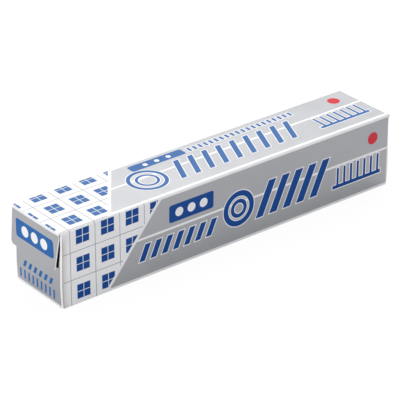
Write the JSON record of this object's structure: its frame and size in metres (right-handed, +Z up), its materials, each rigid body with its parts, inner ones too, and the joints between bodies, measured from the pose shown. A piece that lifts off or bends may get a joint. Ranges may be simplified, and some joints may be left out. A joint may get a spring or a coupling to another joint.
{
  "type": "boxed aluminium foil roll",
  "caption": "Long folded carton with a hinged lid and serrated cutter, holding a wide roll of aluminium foil that turns on flanged end reels.",
  "frame": {"origin": "middle of the overall footprint, on the surface the carton stands on", "axes": "+X along the roll, -Y out of the wall that carries the lid's hinge, +Z up"},
  "size_m": [0.31, 0.0604, 0.06],
  "materials": {
    "printed_board": "satin",
    "cutter_steel": "satin",
    "foil": "gloss",
    "core_paper": "matte",
    "reel_plastic": "satin"
  },
  "bodies": {
    "carton": {"carton_body": "printed_board"},
    "lid": {"carton_lid": "printed_board", "cutter_blade": "cutter_steel"},
    "roll": {"foil_roll": "foil", "paper_core": "core_paper", "guide_reel_left": "reel_plastic", "guide_reel_right": "reel_plastic"}
  },
  "joints": [
    {"name": "lid_hinge", "type": "hinge", "parent": "carton", "child": "lid", "pos_m": [0, -0.0302, 0.06], "axis": [1, 0, 0], "range_deg": [0, 115]},
    {"name": "roll_spin", "type": "hinge", "parent": "carton", "child": "roll", "pos_m": [0, -0.002, 0.0277], "axis": [1, 0, 0], "continuous": true}
  ]
}
